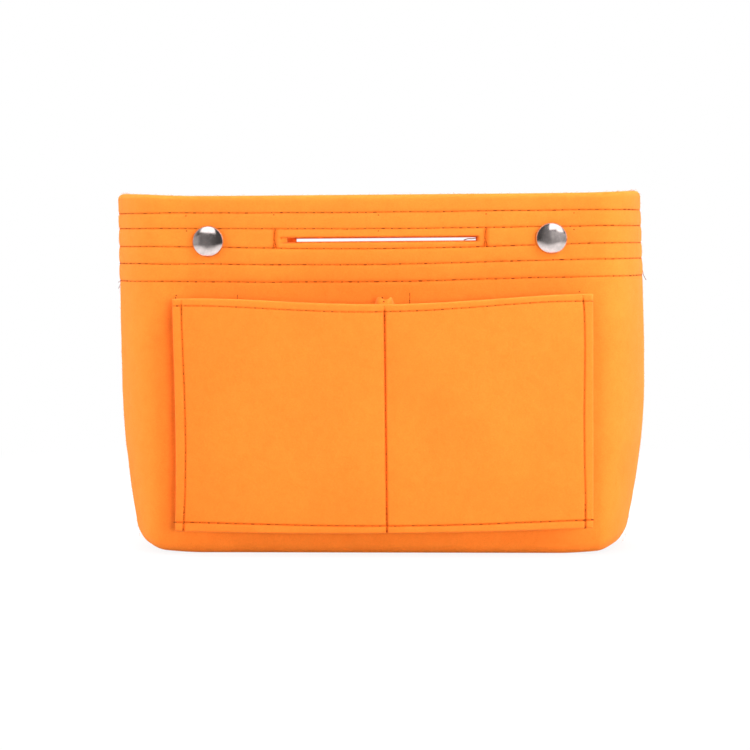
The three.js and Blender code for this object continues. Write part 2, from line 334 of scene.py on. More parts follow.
half_depth = -node_box("front_wall")[0][1]
tip_x = node_box("right_end_wall")[1][0]
end_reach = tip_x - corner_x
foot_inset = 6.3  # where the foot meets the base
taper_height = 70  # below this the ends draw in towards the base
taper_reach = 8.5
taper_power = 1.8
hem_bottom = node_box("front_rim_facing")[0][2]
hem_inset = 2 * felt_thick + layer_gap
rim_radius = hem_inset / 2
slit_half_length = 43.5
slit_half_width = {-1: 1.15, 1: 0.85}  # by side: the back one was cut narrower
slit_column = 46  # the column of a half's grids that runs up the slit's end
frame_stitch_x = 46.8  # where a short seam bars each end of the slit
snap_height = sum(corner[2] for corner in node_box("front_snap_cap_left")) / 2
snap_x = sum(corner[0] for corner in node_box("front_snap_cap_right")) / 2
stitch_pitch = 3.8
puff = 0.26  # how far the felt stands proud between two rows of stitches
groove = 0.4  # how deep a row of stitches pulls it in
seam_pull = 0.7  # how deep the seam at a tip pulls it in
snap_flat = 9.0  # how far from a snap's middle it presses the felt
snap_press = 0.28  # and how deep
hollow_depth = 2.6  # the wall's hollow below the rim, where hands pull it in
hollow_height = 108


def run_along(path):
    """The way along a path to each of its points, from 0 at the first."""
    return np.concatenate([[0], np.cumsum(np.linalg.norm(np.diff(path, axis=0), axis=1))])


def bell(distance, width):
    """1 at no distance and falling as a Gaussian, exp(-(distance / width)^2)."""
    return np.exp(-((distance / width) ** 2))


turns = np.linspace(0, np.pi / 2, 400)
end_run = run_along(np.stack([end_reach * np.sin(turns), -half_depth * np.cos(turns)], -1))
half_round = corner_x + end_run[-1]  # the way along the wall from its middle to the tip


def half_length(z, hand):
    """Half the tub's outside length: constant above the taper and falling with a power of the depth
    below it. The hands differ a little, by a quartic through five heights, since the tub leans."""
    low = np.clip((taper_height - z) / taper_height, 0, 1)
    lean = (-0.88, -0.23, 0.16, -1.05, -2.16) if hand > 0 else (0.42, 0.08, 0.67, 1.14, 1.34)
    curve = np.polyfit((0, 45, 90, 130, 160), lean, 4)
    return tip_x - taper_reach * low**taper_power + np.polyval(curve, z)


def line_height(left, middle, right):
    """The height over x of a line round the tub that has these values at the left tip, the middle and
    the right tip: a quadratic of the sine that runs from -1 at one tip to 1 at the other."""

    def height(x):
        way = np.sin(np.clip(x / tip_x, -1, 1) * np.pi / 2)
        return middle + way * (right - left) / 2 + way**2 * ((left + right) / 2 - middle)

    return height


def rim_height(x):
    """The rim's top: nearly level, 0.9 mm higher at the right corner than at the left one, and turned
    up by the ends' stiffness over the last centimetres, a little sooner at the left."""
    sooner = 0.55 * np.clip((-x - 80) / 25, 0, 1) ** 1.5
    return 160.2 + 0.45 * x / corner_x + 1.3 * np.abs(x / tip_x) ** 8 + sooner


# The five rows of stitches from the lowest up, as sewn: none is quite straight.
stitch_rows = [
    line_height(121.9, 121.6, 123.8),
    line_height(129.8, 129.2, 131.5),
    line_height(137.5, 136.2, 138.5),
    line_height(145.5, 145.1, 146.1),
    line_height(152.3, 152.35, 153.2),
]


def x_along(along):
    """The x of a place on the wall by the way along it from its middle."""
    turn = np.interp(along - corner_x, end_run, turns)
    return np.minimum(along, corner_x) + end_reach * np.sin(turn)


def wall_place(along, z, inset, hand, side):
    """A point of the wall by the way along it, its height and how far in it lies from the outside:
    straight up to the corner, then round a quarter of an ellipse to the tip."""
    turn = np.interp(along - corner_x, end_run, turns)
    reach = half_length(z, hand) - corner_x - inset
    x = np.minimum(along, corner_x) + reach * np.sin(turn)
    y = (half_depth - inset) * np.cos(turn)
    return points_of(hand * x, side * y, z)


def wall_sway(along, z, hand, side):
    """How far in the whole wall lies from its true place: a shallow hollow below the stiff rim at the
    middle, and slow waves, which fade towards the foot and the tips."""
    x = x_along(along)
    hollow = hollow_depth * np.clip(1 - (x / tip_x) ** 2, 0, 1) * bell(z - hollow_height, 30)
    fade = smooth_step((half_round - along) / 45) * smooth_step((z - 2) / 25)
    return hollow + 0.55 * fade * unevenness(hand * along, z, 62, 11 + side)


def near_snap(along, z):
    """1 at a snap's middle, falling to 0 beyond its edge as a power of the distance."""
    return bell((along - snap_x) ** 2 + (z - snap_height) ** 2, snap_flat**2)


def quilted(along, z, hand, side, inside=False):
    """How far the hem's felt stands proud of its plain face: a flat arch between two rows of stitches
    and a narrow groove at each row, puckered once a stitch. A snap presses it flat."""
    strength, seed = (0.8, 41) if inside else (1.0, 31)
    x = hand * x_along(along)
    edges = [row(x) for row in stitch_rows] + [rim_height(x)]
    height = np.zeros(np.broadcast(along, z).shape)
    for low, high in zip(edges[:-1], edges[1:]):
        share = np.clip((z - low) / (high - low), 0, 1)
        height = height + puff * strength * (4 * share * (1 - share)) ** 0.7
    for number, row in enumerate(edges[:-1]):
        pucker = 0.75 + 0.25 * np.cos(2 * np.pi * hand * along / stitch_pitch + number)
        height = height - groove * pucker * bell(z - row, 0.55)
    seam = bell(half_round - along, 1.7)
    fade = smooth_step((half_round - along) / 12)
    height = height + 0.10 * fade * unevenness(hand * along, z, 11, seed + side)
    snap = near_snap(along, z)
    return height * (1 - snap) * (1 - seam) - snap_press * snap - seam_pull * seam


def slit_middle(x):
    """The height of the hand slit's middle: it climbs a little to the right."""
    return snap_height + 0.25 + 0.005 * x


def slit_rounding(along, z, hand, side):
    """How far the felt falls away at the edges of the hand slit."""
    up = np.abs(z - slit_middle(hand * along)) - slit_half_width[side]
    past = along - slit_half_length
    away = np.where(past > 0, np.hypot(np.maximum(up, 0), past), up)
    return rounding(np.maximum(away, 0), 0.7)


def wall_face(along, z, hand, side, inside=False, lift=0.0):
    """Points on the wall's outer or inner face, raised off it by the lift."""
    sway = wall_sway(along, z, hand, side)
    if inside:
        plain = np.where(z > hem_bottom, hem_inset, felt_thick)
        proud = np.where(z > hem_bottom, quilted(along, z, hand, side, inside), 0)
        return wall_place(along, z, plain + sway + proud + lift, hand, side)
    return wall_place(along, z, sway - quilted(along, z, hand, side) - lift, hand, side)


def between(low, high, shares):
    """Heights at the given shares of the way from one line of heights to another, as columns."""
    return low[:, None] + (high - low)[:, None] * np.array(shares)[None, :]


def slit_lip(outer, inner, along, low_row, high_row, hem_lag):
    """The quads that the slit leaves out of a half's faces, and the lip that lines it from the outer
    face to the inner one: two rounded cut edges with a groove between them. The lip is deeper in
    colour as painted shade inside the slit. A hem that shows in the slit's end lies close behind the
    wall there; its edge is left light, as lit, with a deeper painted outline at the outer edge."""
    gap = np.zeros((outer.shape[0] - 1, outer.shape[1] - 1), bool)
    gap[:slit_column, low_row:high_row] = True
    i = np.concatenate([
        np.arange(slit_column),
        np.full(high_row - low_row, slit_column),
        np.arange(slit_column, -1, -1),
    ])
    j = np.concatenate([
        np.full(slit_column, low_row),
        np.arange(low_row, high_row),
        np.full(slit_column + 1, high_row),
    ])
    depth = np.array([0, 0.1, 0.3, 0.43, 0.5, 0.57, 0.7, 0.9, 1])
    recess = np.array([0, -0.12, -0.16, 0.05, 0.45, 0.05, -0.16, -0.12, 0])
    shows = (bell(along[i] - slit_half_length, 4) * (hem_lag > 1))[:, None]
    shift = smooth_step((depth - 0.4 + 0.36 * shows) / 0.2)
    from_outer, from_inner = outer[i, j][:, None], inner[i, j][:, None]
    lip = from_outer * (1 - depth)[None, :, None] + from_inner * depth[None, :, None]
    lip[:, :, 0] = from_outer[:, :, 0] * (1 - shift) + from_inner[:, :, 0] * shift
    upward = np.where(j == low_row, -1, np.where(j == high_row, 1, 0))
    lip[:, :, 2] += upward[:, None] * recess
    # Painted shade: the lip deeper in colour in the slit, left light where the hem shows at its end.
    pressed_and_shade = 0.7 - shows * np.array([-0.3, 0.7, 0.7, 0, 0, 0, 0, 0, 0])
    return gap, np.concatenate([lip, pressed_and_shade[:, :, None]], -1)


def wall_pressed_and_shade(x, way, z, rows, hand, side):
    """How much the outer face is deepened in colour: along the stitches, where thread presses it; and as
    painted shade, a little in the hollow above the pocket's mouth and round the ends of the back's slit."""
    # Painted shade in the hollow above the pocket's mouth.
    pressed_and_shade = 0.2 * bell(x + 4, 42) * bell(z - 122, 12)
    for row in rows:
        pressed_and_shade = pressed_and_shade + 0.5 * bell(z - row[:, None], 0.35)
    framed = (z > rows[2][:, None]) & (z < rows[3][:, None])
    pressed_and_shade = pressed_and_shade + 0.75 * framed * bell(way - frame_stitch_x - 0.5 * hand, 1.0)
    # Painted shade round the back slit's ends, where the tub's shaded inside shows through the front
    # slit.
    if side > 0:
        from_end = np.hypot(way - slit_half_length - 1, z - slit_middle(hand * way))
        pressed_and_shade = pressed_and_shade + np.exp(-((from_end / 3) ** 4))
    return np.clip(pressed_and_shade, 0, 1)


def wall_half(hand, side):
    """The faces of half a panel as grids, columns along the wall and rows from the foot to the rim,
    with a row on every line of stitches and on both edges of the slit; how deep in colour they are,
    by pressing and by painted shade; the quads that the slit leaves out; and the lip that lines it."""
    along = np.concatenate([
        np.linspace(0, slit_half_length, slit_column + 1),
        np.linspace(slit_half_length, half_round, 110)[1:],
    ])
    x = hand * x_along(along)
    rows = [row(x) for row in stitch_rows]
    level = np.ones(len(along))
    past_slit = smooth_step((along - slit_half_length - 3) / 30)
    gap_low = slit_middle(x) - slit_half_width[side]
    gap_low = gap_low + past_slit * (rows[2] + 0.4 * (rows[3] - rows[2]) - gap_low)
    gap_high = slit_middle(x) + slit_half_width[side]
    gap_high = gap_high + past_slit * (rows[2] + 0.62 * (rows[3] - rows[2]) - gap_high)
    shoulder = rim_height(x) - rim_radius
    wide = (0, 0.05, 0.11, 0.2, 0.35, 0.5, 0.65, 0.8, 0.89, 0.95)
    short = (0, 0.09, 0.22, 0.45, 0.72, 0.88)

    at_end = smooth_step((along - 85) / 55)
    foot_in = (3.8 + 2.4 * at_end)[:, None]  # how far in, and how high, the foot's round reaches
    foot_up = (5.0 + 4.0 * at_end)[:, None]
    lift = foot_lift(x)[:, None]
    bend = np.linspace(0, np.pi / 2, 9)[:-1]
    hem_turn = hem_bottom + np.array([-0.8, -0.3, 0.0, 0.3])
    bands = [
        between((foot_up + lift)[:, 0], (hem_bottom - 0.8) * level, np.linspace(0, 1, 40)[:-1]),
        hem_turn[None, :] * level[:, None],
        between((hem_bottom + 0.8) * level, rows[0], short),
        between(rows[0], rows[1], wide),
        between(rows[1], rows[2], wide),
        between(rows[2], gap_low, short),
        between(gap_low, gap_high, (0, 0.5)),
        between(gap_high, rows[3], short),
        between(rows[3], rows[4], wide),
        between(rows[4], shoulder, wide),
    ]
    count = [band.shape[1] for band in bands]
    heights = np.concatenate(bands, 1)
    foot_rows = len(bend) + 1
    low_row = foot_rows + sum(count[:6])
    high_row = low_row + count[6]

    over = np.linspace(0, np.pi / 2, 9)
    z_rim = shoulder[:, None] + rim_radius * np.sin(over)[None, :]
    outer_foot = [lift, lift + foot_up * (1 - np.cos(bend))]
    outer_z = np.concatenate([*outer_foot, heights, z_rim], 1)
    inner_foot = [lift + felt_thick, lift + foot_up - (foot_up - felt_thick) * np.cos(bend)]
    inner_heights = heights.copy()
    first_turn = count[0]
    inner_heights[:, first_turn : first_turn + 4] = hem_bottom + np.array([-0.4, -0.08, 0.0, 0.1])
    inner_z = np.concatenate([*inner_foot, inner_heights, z_rim], 1)

    def in_rows(*parts):
        shapes = [(len(along), np.shape(part)[-1]) for part in parts]
        return np.concatenate([np.broadcast_to(part, shape) for part, shape in zip(parts, shapes)], 1)

    start = np.array([foot_inset])
    outer_in = in_rows(
        start, foot_in * (1 - np.sin(bend)), np.zeros(sum(count)), rim_radius * (1 - np.cos(over))
    )
    hem_steps = np.array([felt_thick, felt_thick + 0.1, felt_thick + 0.9, hem_inset - 0.4])
    inner_in = in_rows(
        start,
        foot_in - (foot_in - felt_thick) * np.sin(bend),
        np.full(count[0], felt_thick),
        hem_steps,
        np.full(sum(count[2:]), hem_inset),
        hem_inset - rim_radius * (1 - np.cos(over)),
    )

    way = along[:, None]
    sway = wall_sway(way, outer_z, hand, side)
    crest = np.concatenate([np.ones(foot_rows + sum(count)), np.cos(over)])[None, :]
    proud = quilted(way, outer_z, hand, side) * crest
    away_at_slit = slit_rounding(way, outer_z, hand, side)
    outer = wall_place(way, outer_z, outer_in + sway - proud + away_at_slit, hand, side)
    on_hem = inner_in > hem_inset - 0.3
    inner_proud = np.where(on_hem, quilted(way, inner_z, hand, side, inside=True), 0) * crest
    inner_inset = inner_in + sway + inner_proud - away_at_slit
    # The hem's own slit was cut a little shorter, at the left more than at the right.
    hem_lag = 0.3 if hand > 0 else 2.3 if side < 0 else 1.1
    inner_way = way - hem_lag * bell(way - slit_half_length, 7)
    inner = wall_place(inner_way, inner_z, inner_inset, hand, side)
    gap, lip = slit_lip(outer, inner, along, low_row, high_row, hem_lag)
    return outer, inner, wall_pressed_and_shade(x[:, None], way, outer_z, rows, hand, side), gap, lip


def follow_wall(piece):
    """The piece's placing, baked into its mesh."""
    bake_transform(piece)


sides = [("front", -1), ("back", 1)]
hands = [("left", -1), ("right", 1)]
for side_name, side in sides:
    for hand_name, hand in hands:
        outer, inner, pressed_and_shade, gap, lip = wall_half(hand, side)
        half = felt_mesh(f"{side_name}_wall_{hand_name}_half", outer, inner, felt, pressed_and_shade, gap, lip)
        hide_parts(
            f"{side_name}_wall", f"{side_name}_rim_facing",
            f"{hand_name}_end_wall", f"{hand_name}_rim_facing",
        )
        follow_wall(half)

# The rim's sewing: orange thread a little darker than the felt, in lockstitches that dive into
# needle holes, whose shadow is painted as dark tubes. Five rows run round the tub through both
# layers, so they show inside as well, and a short barred seam frames each end of the slit.

thread_radius = 0.18
thread_orange = (0.62, 0.118, 0.007, 1)
# the painted shadow inside needle and pin holes
hole_shadow_brown = (0.29, 0.042, 0.007, 1)


def thread_finish():
    """Spun polyester: slanting bands of painted shade along its twist, over a bump of the same bands,
    and a slight gloss.
    """
    material, tree, shader = new_material("orange_thread")
    twist = shader_node(
        tree, "ShaderNodeTexWave", {"bands_direction": "DIAGONAL"}, Vector=object_place(tree),
        Scale=900.0, Distortion=2.0, Detail=2.0,
    ).outputs["Fac"]
    # Painted shade of the twist: the bands between its ridges darker.
    tone = ramp(tree, twist, [(0.2, (0.78, 0.70, 0.60)), (0.8, (1, 1, 1))])
    set_inputs(
        tree, shader, Base_Color=times(tree, thread_orange, tone), Roughness=0.62,
        Normal=bumped(tree, twist, 0.4, 0.0001), Specular_IOR_Level=0.12,
    )
    return material


def hole_finish():
    """The dark inside of a needle hole: pressed felt in its own shadow."""
    material, tree, shader = new_material("needle_hole")
    specks = noise(tree, object_place(tree), 2500, 2)
    tone = ramp(tree, specks, [(0.3, (0.6, 0.6, 0.6)), (0.7, (1, 1, 1))])
    colour = times(tree, hole_shadow_brown, tone)
    set_inputs(tree, shader, Base_Color=colour, Roughness=1.0, Specular_IOR_Level=0.0)
    return material


thread_finishes = [thread_finish(), hole_finish()]


def unit(vectors):
    """Vectors of the same directions, 1 long."""
    return vectors / np.linalg.norm(vectors, axis=-1, keepdims=True)


def all_facing(path, x, y, z):
    """The same direction at each point of a path."""
    return np.broadcast_to(np.array([x, y, z], float), path.shape)


def tubes(paths, upward, radii, facets):
    """Closed tubes along paths: rings of points round each path's line, square to it, joined in turn
    and capped with two quads. paths and upward are tubes by points by 3, radii tubes by points."""
    along = unit(np.gradient(paths, axis=1))
    across = unit(np.cross(along, upward))
    over = np.cross(across, along)
    angle = np.arange(facets) / facets * 2 * np.pi
    spoke = np.cos(angle)[:, None] * over[:, :, None] + np.sin(angle)[:, None] * across[:, :, None]
    points = paths[:, :, None] + radii[:, :, None, None] * spoke
    count, length = paths.shape[:2]
    cap = np.array([[0, 1, 2, 3], [0, 3, 4, 5]][: facets // 2 - 1])
    single = np.concatenate([grid_quads(length, facets, wrap=True), cap, cap + (length - 1) * facets])
    quads = single[None] + (np.arange(count) * length * facets)[:, None, None]
    return points.reshape(-1, 3), quads.reshape(-1, 4)


def sew(
    path, outward, seed, pitch=stitch_pitch, dive=0.8, lift=0.05, slant=0.17, radius=thread_radius,
    torn=1.0,
):
    """A row of lockstitches on a close line of points with outward directions. The line is cut into
    stitches of nearly the pitch; in each the thread rises steeply out of one hole, lies along the
    felt, a little aslant, and dives into the next. torn scales the holes. Returns the thread's
    tubes and the dark tubes that paint the holes' shadow."""
    draw = np.random.default_rng(seed)
    run = run_along(path)
    count = max(1, round(run[-1] / pitch))
    knots = np.arange(count + 1.0)
    knots[1:-1] += draw.uniform(-0.09, 0.09, count - 1)
    knots *= run[-1] / count
    share = np.array([0, 0.08, 0.16, 0.28, 0.5, 0.72, 0.84, 0.92])
    at = (knots[:-1, None] + np.diff(knots)[:, None] * share).ravel()
    at = np.append(at, knots[-1])
    share = np.append(np.tile(share, count), 0)

    def on_line(place, line):
        return np.stack([np.interp(place, run, line[:, axis]) for axis in range(3)], -1)

    spot, out = on_line(at, path), unit(on_line(at, outward))
    across = unit(np.cross(np.gradient(spot, axis=0), out))
    rise = smooth_step(np.minimum(share, 1 - share) / 0.3)
    spot = spot + out * (lift - (dive + lift) * (1 - rise))[:, None]
    spot = spot + across * (slant * (2 * share - 1) * rise)[:, None]
    thread = tubes(spot[None], out[None], np.full((1, len(spot)), radius), 6)
    # Each needle hole's shadow is painted as a short dark tube in the hole material.
    at_holes, out_holes = on_line(knots, path), unit(on_line(knots, outward))
    forward = unit(np.gradient(at_holes, axis=0))
    length = draw.uniform(0.3, 1.15, (count + 1, 1, 1)) * torn
    aside = draw.uniform(0.1, 0.6, (count + 1, 1, 1)) * forward[:, None]
    reach = np.array([-1, -0.5, 0.5, 1])[None, :, None] * length * forward[:, None] + aside
    hole_paths = at_holes[:, None] + reach + 0.05 * out_holes[:, None]
    hole_radii = np.array([0.08, 0.21, 0.21, 0.08])[None, :] * draw.uniform(0.4, 1.4, (count + 1, 1))
    hole_radii = hole_radii * (0.5 + 0.5 * torn)
    holes = tubes(hole_paths, np.repeat(out_holes[:, None], 4, 1), hole_radii, 4)
    return [(*thread, 0), (*holes, 1)]


def smooth_line(knees, count):
    """A smooth line through a few points: Catmull-Rom curves, evenly stepped from point to point."""
    knees = np.asarray(knees, float)
    ends = np.concatenate([[2 * knees[0] - knees[1]], knees, [2 * knees[-1] - knees[-2]]])
    at = np.linspace(0, len(knees) - 1, count)
    first = np.minimum(at.astype(int), len(knees) - 2)
    t = (at - first)[:, None]
    a, b, c, d = (ends[first + k] for k in range(4))
    bend = (2 * a - 5 * b + 4 * c - d) * t**2 + (3 * b - a - 3 * c + d) * t**3
    return 0.5 * (2 * b + (c - a) * t + bend)


def loose_end(knees, radius):
    """A cut end of thread that lies as it fell, through a few points, dark in the needle holes'
    material.
    """
    path = smooth_line(knees, 24)
    upward = all_facing(path, 0.25, -0.9, 0.35)
    return (*tubes(path[None], upward[None], np.full((1, 24), radius), 6), 1)


def bead(x, y, z, along, up, ends, middle):
    """A dark bead on the front, which paints the shadow in a small hole. Its two ends lie this far
    along and up from its middle, one to each side, and ends and middle are its radii there."""
    path = np.array([(x - along, y, z - up), (x, y, z), (x + along, y, z + up)])
    radii = np.array([[ends, middle, ends]])
    return (*tubes(path[None], all_facing(path, 0, -1, 0)[None], radii, 4), 1)


def pin_hole(x, z):
    """A hole that a pin left in the front of the rim, its shadow painted as a dark bead half sunk in the
    felt.
    """
    y = -half_depth + (wall_sway(abs(x), z, np.sign(x), -1) - 0.12)
    return bead(x, y, z, 0.3, 0.1, 0.12, 0.3)


def thread_mesh(name, work):
    """One piece of all the threads and holes in the work, a list of points, quads and kind."""
    points, quads, kinds, start = [], [], [], 0
    for spots, faces, kind in work:
        points.append(spots)
        quads.append(faces + start)
        kinds.append(np.full(len(faces), kind))
        start += len(spots)
    piece = mesh_object(
        name, np.concatenate(points), np.concatenate(quads), thread_finishes, np.concatenate(kinds)
    )
    return piece


def wall_seam(along, z, hand, side, inside, seed, **how):
    """Stitches on a wall's face along a line of places."""
    path = wall_face(along, z, hand, side, inside, 0.0)
    raised = wall_face(along, z, hand, side, inside, 1.0)
    return sew(path, raised - path, seed, **how)


pin_marks = (
    (-86, 151), (-46.8, 151.3), (-0.4, 151.1), (47.3, 151.4), (86.1, 151.7),
    (-85.8, 144.3), (-0.4, 144), (86.1, 144.4), (-90.8, 115.6), (88.6, 116.9),
)
loose_knees = {  # cut ends at each side seam, as (beyond the felt, across the seam, height)
    -1: (
        ((-0.5, -0.2, 121.4), (0.5, -0.5, 121.2), (1.5, -0.8, 120.9)),
        ((-0.4, -0.3, 120.8), (0.5, -0.6, 120.1), (0.8, -0.7, 119.2), (1.4, -0.9, 118.0)),
    ),
    1: (((-0.3, 0.1, 127.0), (0.3, -0.3, 125.4), (0.6, -0.6, 123.6), (1.8, -0.9, 121.3)),),
}
# A stray fibre in the front slit, as (x, y, height above the snaps' middle).
slit_fibre = ((37.5, -39.4, -0.1), (39.3, -39.9, 0.45), (41.3, -39.9, 0.5), (43.4, -39.6, 0.9))
bar_passes = (  # a barred seam's two passes, as x off its line at five heights from the bottom up
    (0.75, 0.65, 0.35, 0.3, -0.35),
    (-0.6, -0.1, 0.45, 0.1, -0.15),
)
for side_name, side in sides:
    for hand_name, hand in hands:
        work = []
        for number, row in enumerate(stitch_rows):
            for inside in (False, True):
                phase = 1.7 * math.sin(3.1 * number + 2 * inside + side)
                along = np.linspace(hand * phase, half_round - 0.8, 700)
                wander = 0.15 * unevenness(hand * along, 0, 26, 60 + number + 7 * side)
                wander = wander + 0.07 * unevenness(hand * along, 0, 7, 80 + number + 7 * side)
                z = row(hand * x_along(along)) + wander * smooth_step((half_round - along) / 20)
                work += wall_seam(along, z, hand, side, inside, 100 + number)
        bar_low, bar_high = (row(hand * frame_stitch_x) for row in stitch_rows[2:4])
        z = np.linspace(bar_low, bar_high, 60)
        for inside in (False, True):
            for number, (knees, pitch) in enumerate(zip(bar_passes, (2.6, 1.9))):
                swing = smooth_line(np.stack([np.arange(5), knees], -1), 60)[:, 1]
                work += wall_seam(
                    frame_stitch_x + hand * (0.5 - swing), z, hand, side, inside, 7 + number,
                    pitch=pitch, dive=0.5, radius=0.28, lift=0.16, torn=0.6,
                )
        if side < 0:
            work += [pin_hole(x, z) for x, z in pin_marks if x * hand > 0]
            tip = half_length(121, hand)
            for knees in loose_knees[hand]:
                work.append(loose_end([(hand * (tip + out), back, z) for out, back, z in knees], 0.12))
        if side < 0 and hand > 0:
            work.append(loose_end([(x, y, snap_height + up) for x, y, up in slit_fibre], 0.2))
        rim_thread = thread_mesh(f"{side_name}_rim_stitches_{hand_name}", work)
        follow_wall(rim_thread)

# The snap fasteners: pressed steel, nickel plated. A domed cap with a rolled edge sits outside the front
# wall, its post through both layers of felt and riveted in a socket; the back wall has the stud, held
# by a flat eyelet outside.

cap_radius = 7.0
cap_height = 3.0
cap_edge = 1.1  # how high its rolled edge stands
flange_radius = 5.5
flange_height = 0.9
post_radius = 1.8
wall_through = 2 * felt_thick + 2 * layer_gap + flange_height


def nickel_finish():
    """Bright nickel plate, slightly warm, with faint polishing marks and a thin haze of handling."""
    material, tree, shader = new_material("snap_nickel")
    place = object_place(tree)
    haze = noise(tree, place, 420, 5)
    marks = noise(tree, place, 2600, 3, distortion=1.0)
    tone = ramp(tree, haze, [(0.35, (0.72, 0.63, 0.61)), (0.65, (0.85, 0.75, 0.73))])
    set_inputs(
        tree, shader, Base_Color=tone, Roughness=mapped(tree, haze, 0.3, 0.7, 0.12, 0.2),
        Normal=bumped(tree, marks, 0.12, 0.00005), Metallic=1.0,
    )
    return material


nickel = nickel_finish()


def arc(centre, radius, start, end, count):
    """Points of a circle's arc as (radius from the axis, height), its angles in degrees."""
    angle = np.radians(np.linspace(start, end, count))
    return np.stack([centre[0] + radius * np.cos(angle), centre[1] + radius * np.sin(angle)], -1)


def turned(name, profile, x, seat, facing, drop):
    """A closed profile of (radius, height) points turned about the snap's axis. Heights rise from the
    seat on the felt in the facing direction along Y."""
    profile = np.concatenate([np.atleast_2d(part) for part in profile])
    angle = np.arange(64) / 64 * 2 * np.pi
    radius, height = profile[:, 0][:, None], profile[:, 1][:, None]
    up = snap_height - drop + radius * np.sin(angle)
    points = points_of(x + radius * np.cos(angle), seat + facing * height, up)
    piece = mesh_object(name, points.reshape(-1, 3), grid_quads(len(profile), 64, wrap=True), [nickel])
    return piece


edge_roll = arc((flange_radius - 0.35, 0.35), 0.35, -70, 85, 7)
dome_rise = cap_height - cap_edge
dome_edge = cap_radius - 0.3
dome_radius = (dome_edge**2 + dome_rise**2) / (2 * dome_rise)
dome_angle = math.degrees(math.asin(dome_edge / dome_radius))
post = [
    (0, -wall_through),
    (post_radius - 0.2, -wall_through),
    (post_radius, -wall_through + 0.2),
]
cap_profile = [
    *post,
    (post_radius, 0.1),
    (cap_radius - 0.6, 0.0),
    arc((cap_radius - 0.55, 0.55), 0.55, -80, 62, 10),
    arc((0, cap_height - dome_radius), dome_radius, 90 - dome_angle, 90, 24),
]
eyelet_profile = [
    *post,
    (post_radius, 0),
    (flange_radius - 0.4, 0),
    arc((flange_radius - 0.4, 0.4), 0.4, -70, 80, 7),
    arc((post_radius + 0.7, 0.35), 0.5, 80, 175, 7),
    (post_radius - 0.5, 0.05),
    (0, 0.05),
]
bore = post_radius + 0.3
socket_profile = [
    (bore, 0),
    (flange_radius - 0.4, 0),
    edge_roll,
    (4.6, flange_height - 0.1),
    arc((3.75, 2.75), 0.45, 5, 170, 9),
    (3.0, 2.3),
    (2.7, flange_height + 0.5),
    (2.7, flange_height + layer_gap),
    (bore, flange_height + layer_gap),
    (bore, 0),
]
stud_profile = [
    (0, flange_height + layer_gap),
    (bore, flange_height + layer_gap),
    (bore, 0),
    (flange_radius - 0.4, 0),
    edge_roll,
    (3.4, flange_height - 0.1),
    arc((2.5, 1.7), 0.6, -80, -175, 7),
    arc((1.5, 3.0), 1.0, -25, 90, 12),
    (0, 4.0),
]
for hand_name, hand in hands:
    x = hand * snap_x
    drop = 0.4 if hand < 0 else -0.5  # the left pair was set a little low, the right pair high
    outside = half_depth + layer_gap
    inside = half_depth - hem_inset - layer_gap
    cap = turned(f"snap_cap_{hand_name}", cap_profile, x, -outside, -1, drop)
    socket = turned(f"snap_socket_{hand_name}", socket_profile, x, -inside, 1, drop)
    eyelet = turned(f"snap_eyelet_{hand_name}", eyelet_profile, x, outside, 1, drop)
    stud = turned(f"snap_stud_{hand_name}", stud_profile, x, inside, -1, drop)
    for piece, body, node in (
        (cap, "front_side", f"front_snap_cap_{hand_name}"),
        (socket, "front_side", f"front_snap_socket_{hand_name}"),
        (eyelet, "back_side", f"back_snap_eyelet_{hand_name}"),
        (stud, "back_side", f"back_snap_stud_{hand_name}"),
    ):
        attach(piece, body)
        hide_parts(node)

# The outside pocket of each long wall: a face of felt, sewn down its sides and along its foot to a
# gusset strip of thinner felt, and at its middle to a divider folded in a V, whose two feet are sewn to
# the wall. The mouth is unhemmed and has one row of stitches.

face_out = -node_box("front_pocket_face")[0][1]  # its outer surface, from the middle plane
gusset_out = -node_box("front_pocket_gusset")[0][1]
lining_thick = 1.8
pocket_lean = 0.009  # the pocket's upright seams lean to the left towards the top
pocket_pillow = 0.9


def pocket_line(*heights):
    """A nearly level line of the pocket over x: the polynomial with these heights at even steps from
    its left edge to its right edge."""
    curve = np.polyfit(np.linspace(-1, 1, len(heights)), heights, len(heights) - 1)
    return lambda x: np.polyval(curve, (x - 1.8) / 92)


mouth = pocket_line(114.4, 113.3, 111.9, 113.9, 116.2)
mouth_seam = pocket_line(111.3, 109.8, 108.6, 111.0, 113.0)
bottom_seam = pocket_line(15.6, 14.5, 14.0, 15.0, 16.9)
pocket_foot = pocket_line(11.4, 10.6, 13.1)


def upright(at_60, *strays):
    """The x over height of one of the pocket's upright lines, from its x at 60 mm. As sewn it strays
    from straight by the values given at five heights."""
    curve = np.polyfit((12, 36, 60, 84, 110), strays or np.zeros(5), 4)
    return lambda z: at_60 - pocket_lean * (z - 60) + np.polyval(curve, z)


left_edge = upright(-90.03, -0.87, -0.22, 0.0, -0.18, -0.4)
left_seam = upright(-86.3, -0.8, 0.35, 0.7, 0.3, -0.2)
middle_seam = upright(2.97)
right_seam = upright(90.2, 0.2, 0.12, -0.08, 0.33, 0.1)
right_edge = upright(94.1, -0.4, -0.1, 0.0, 0.15, 0.25)


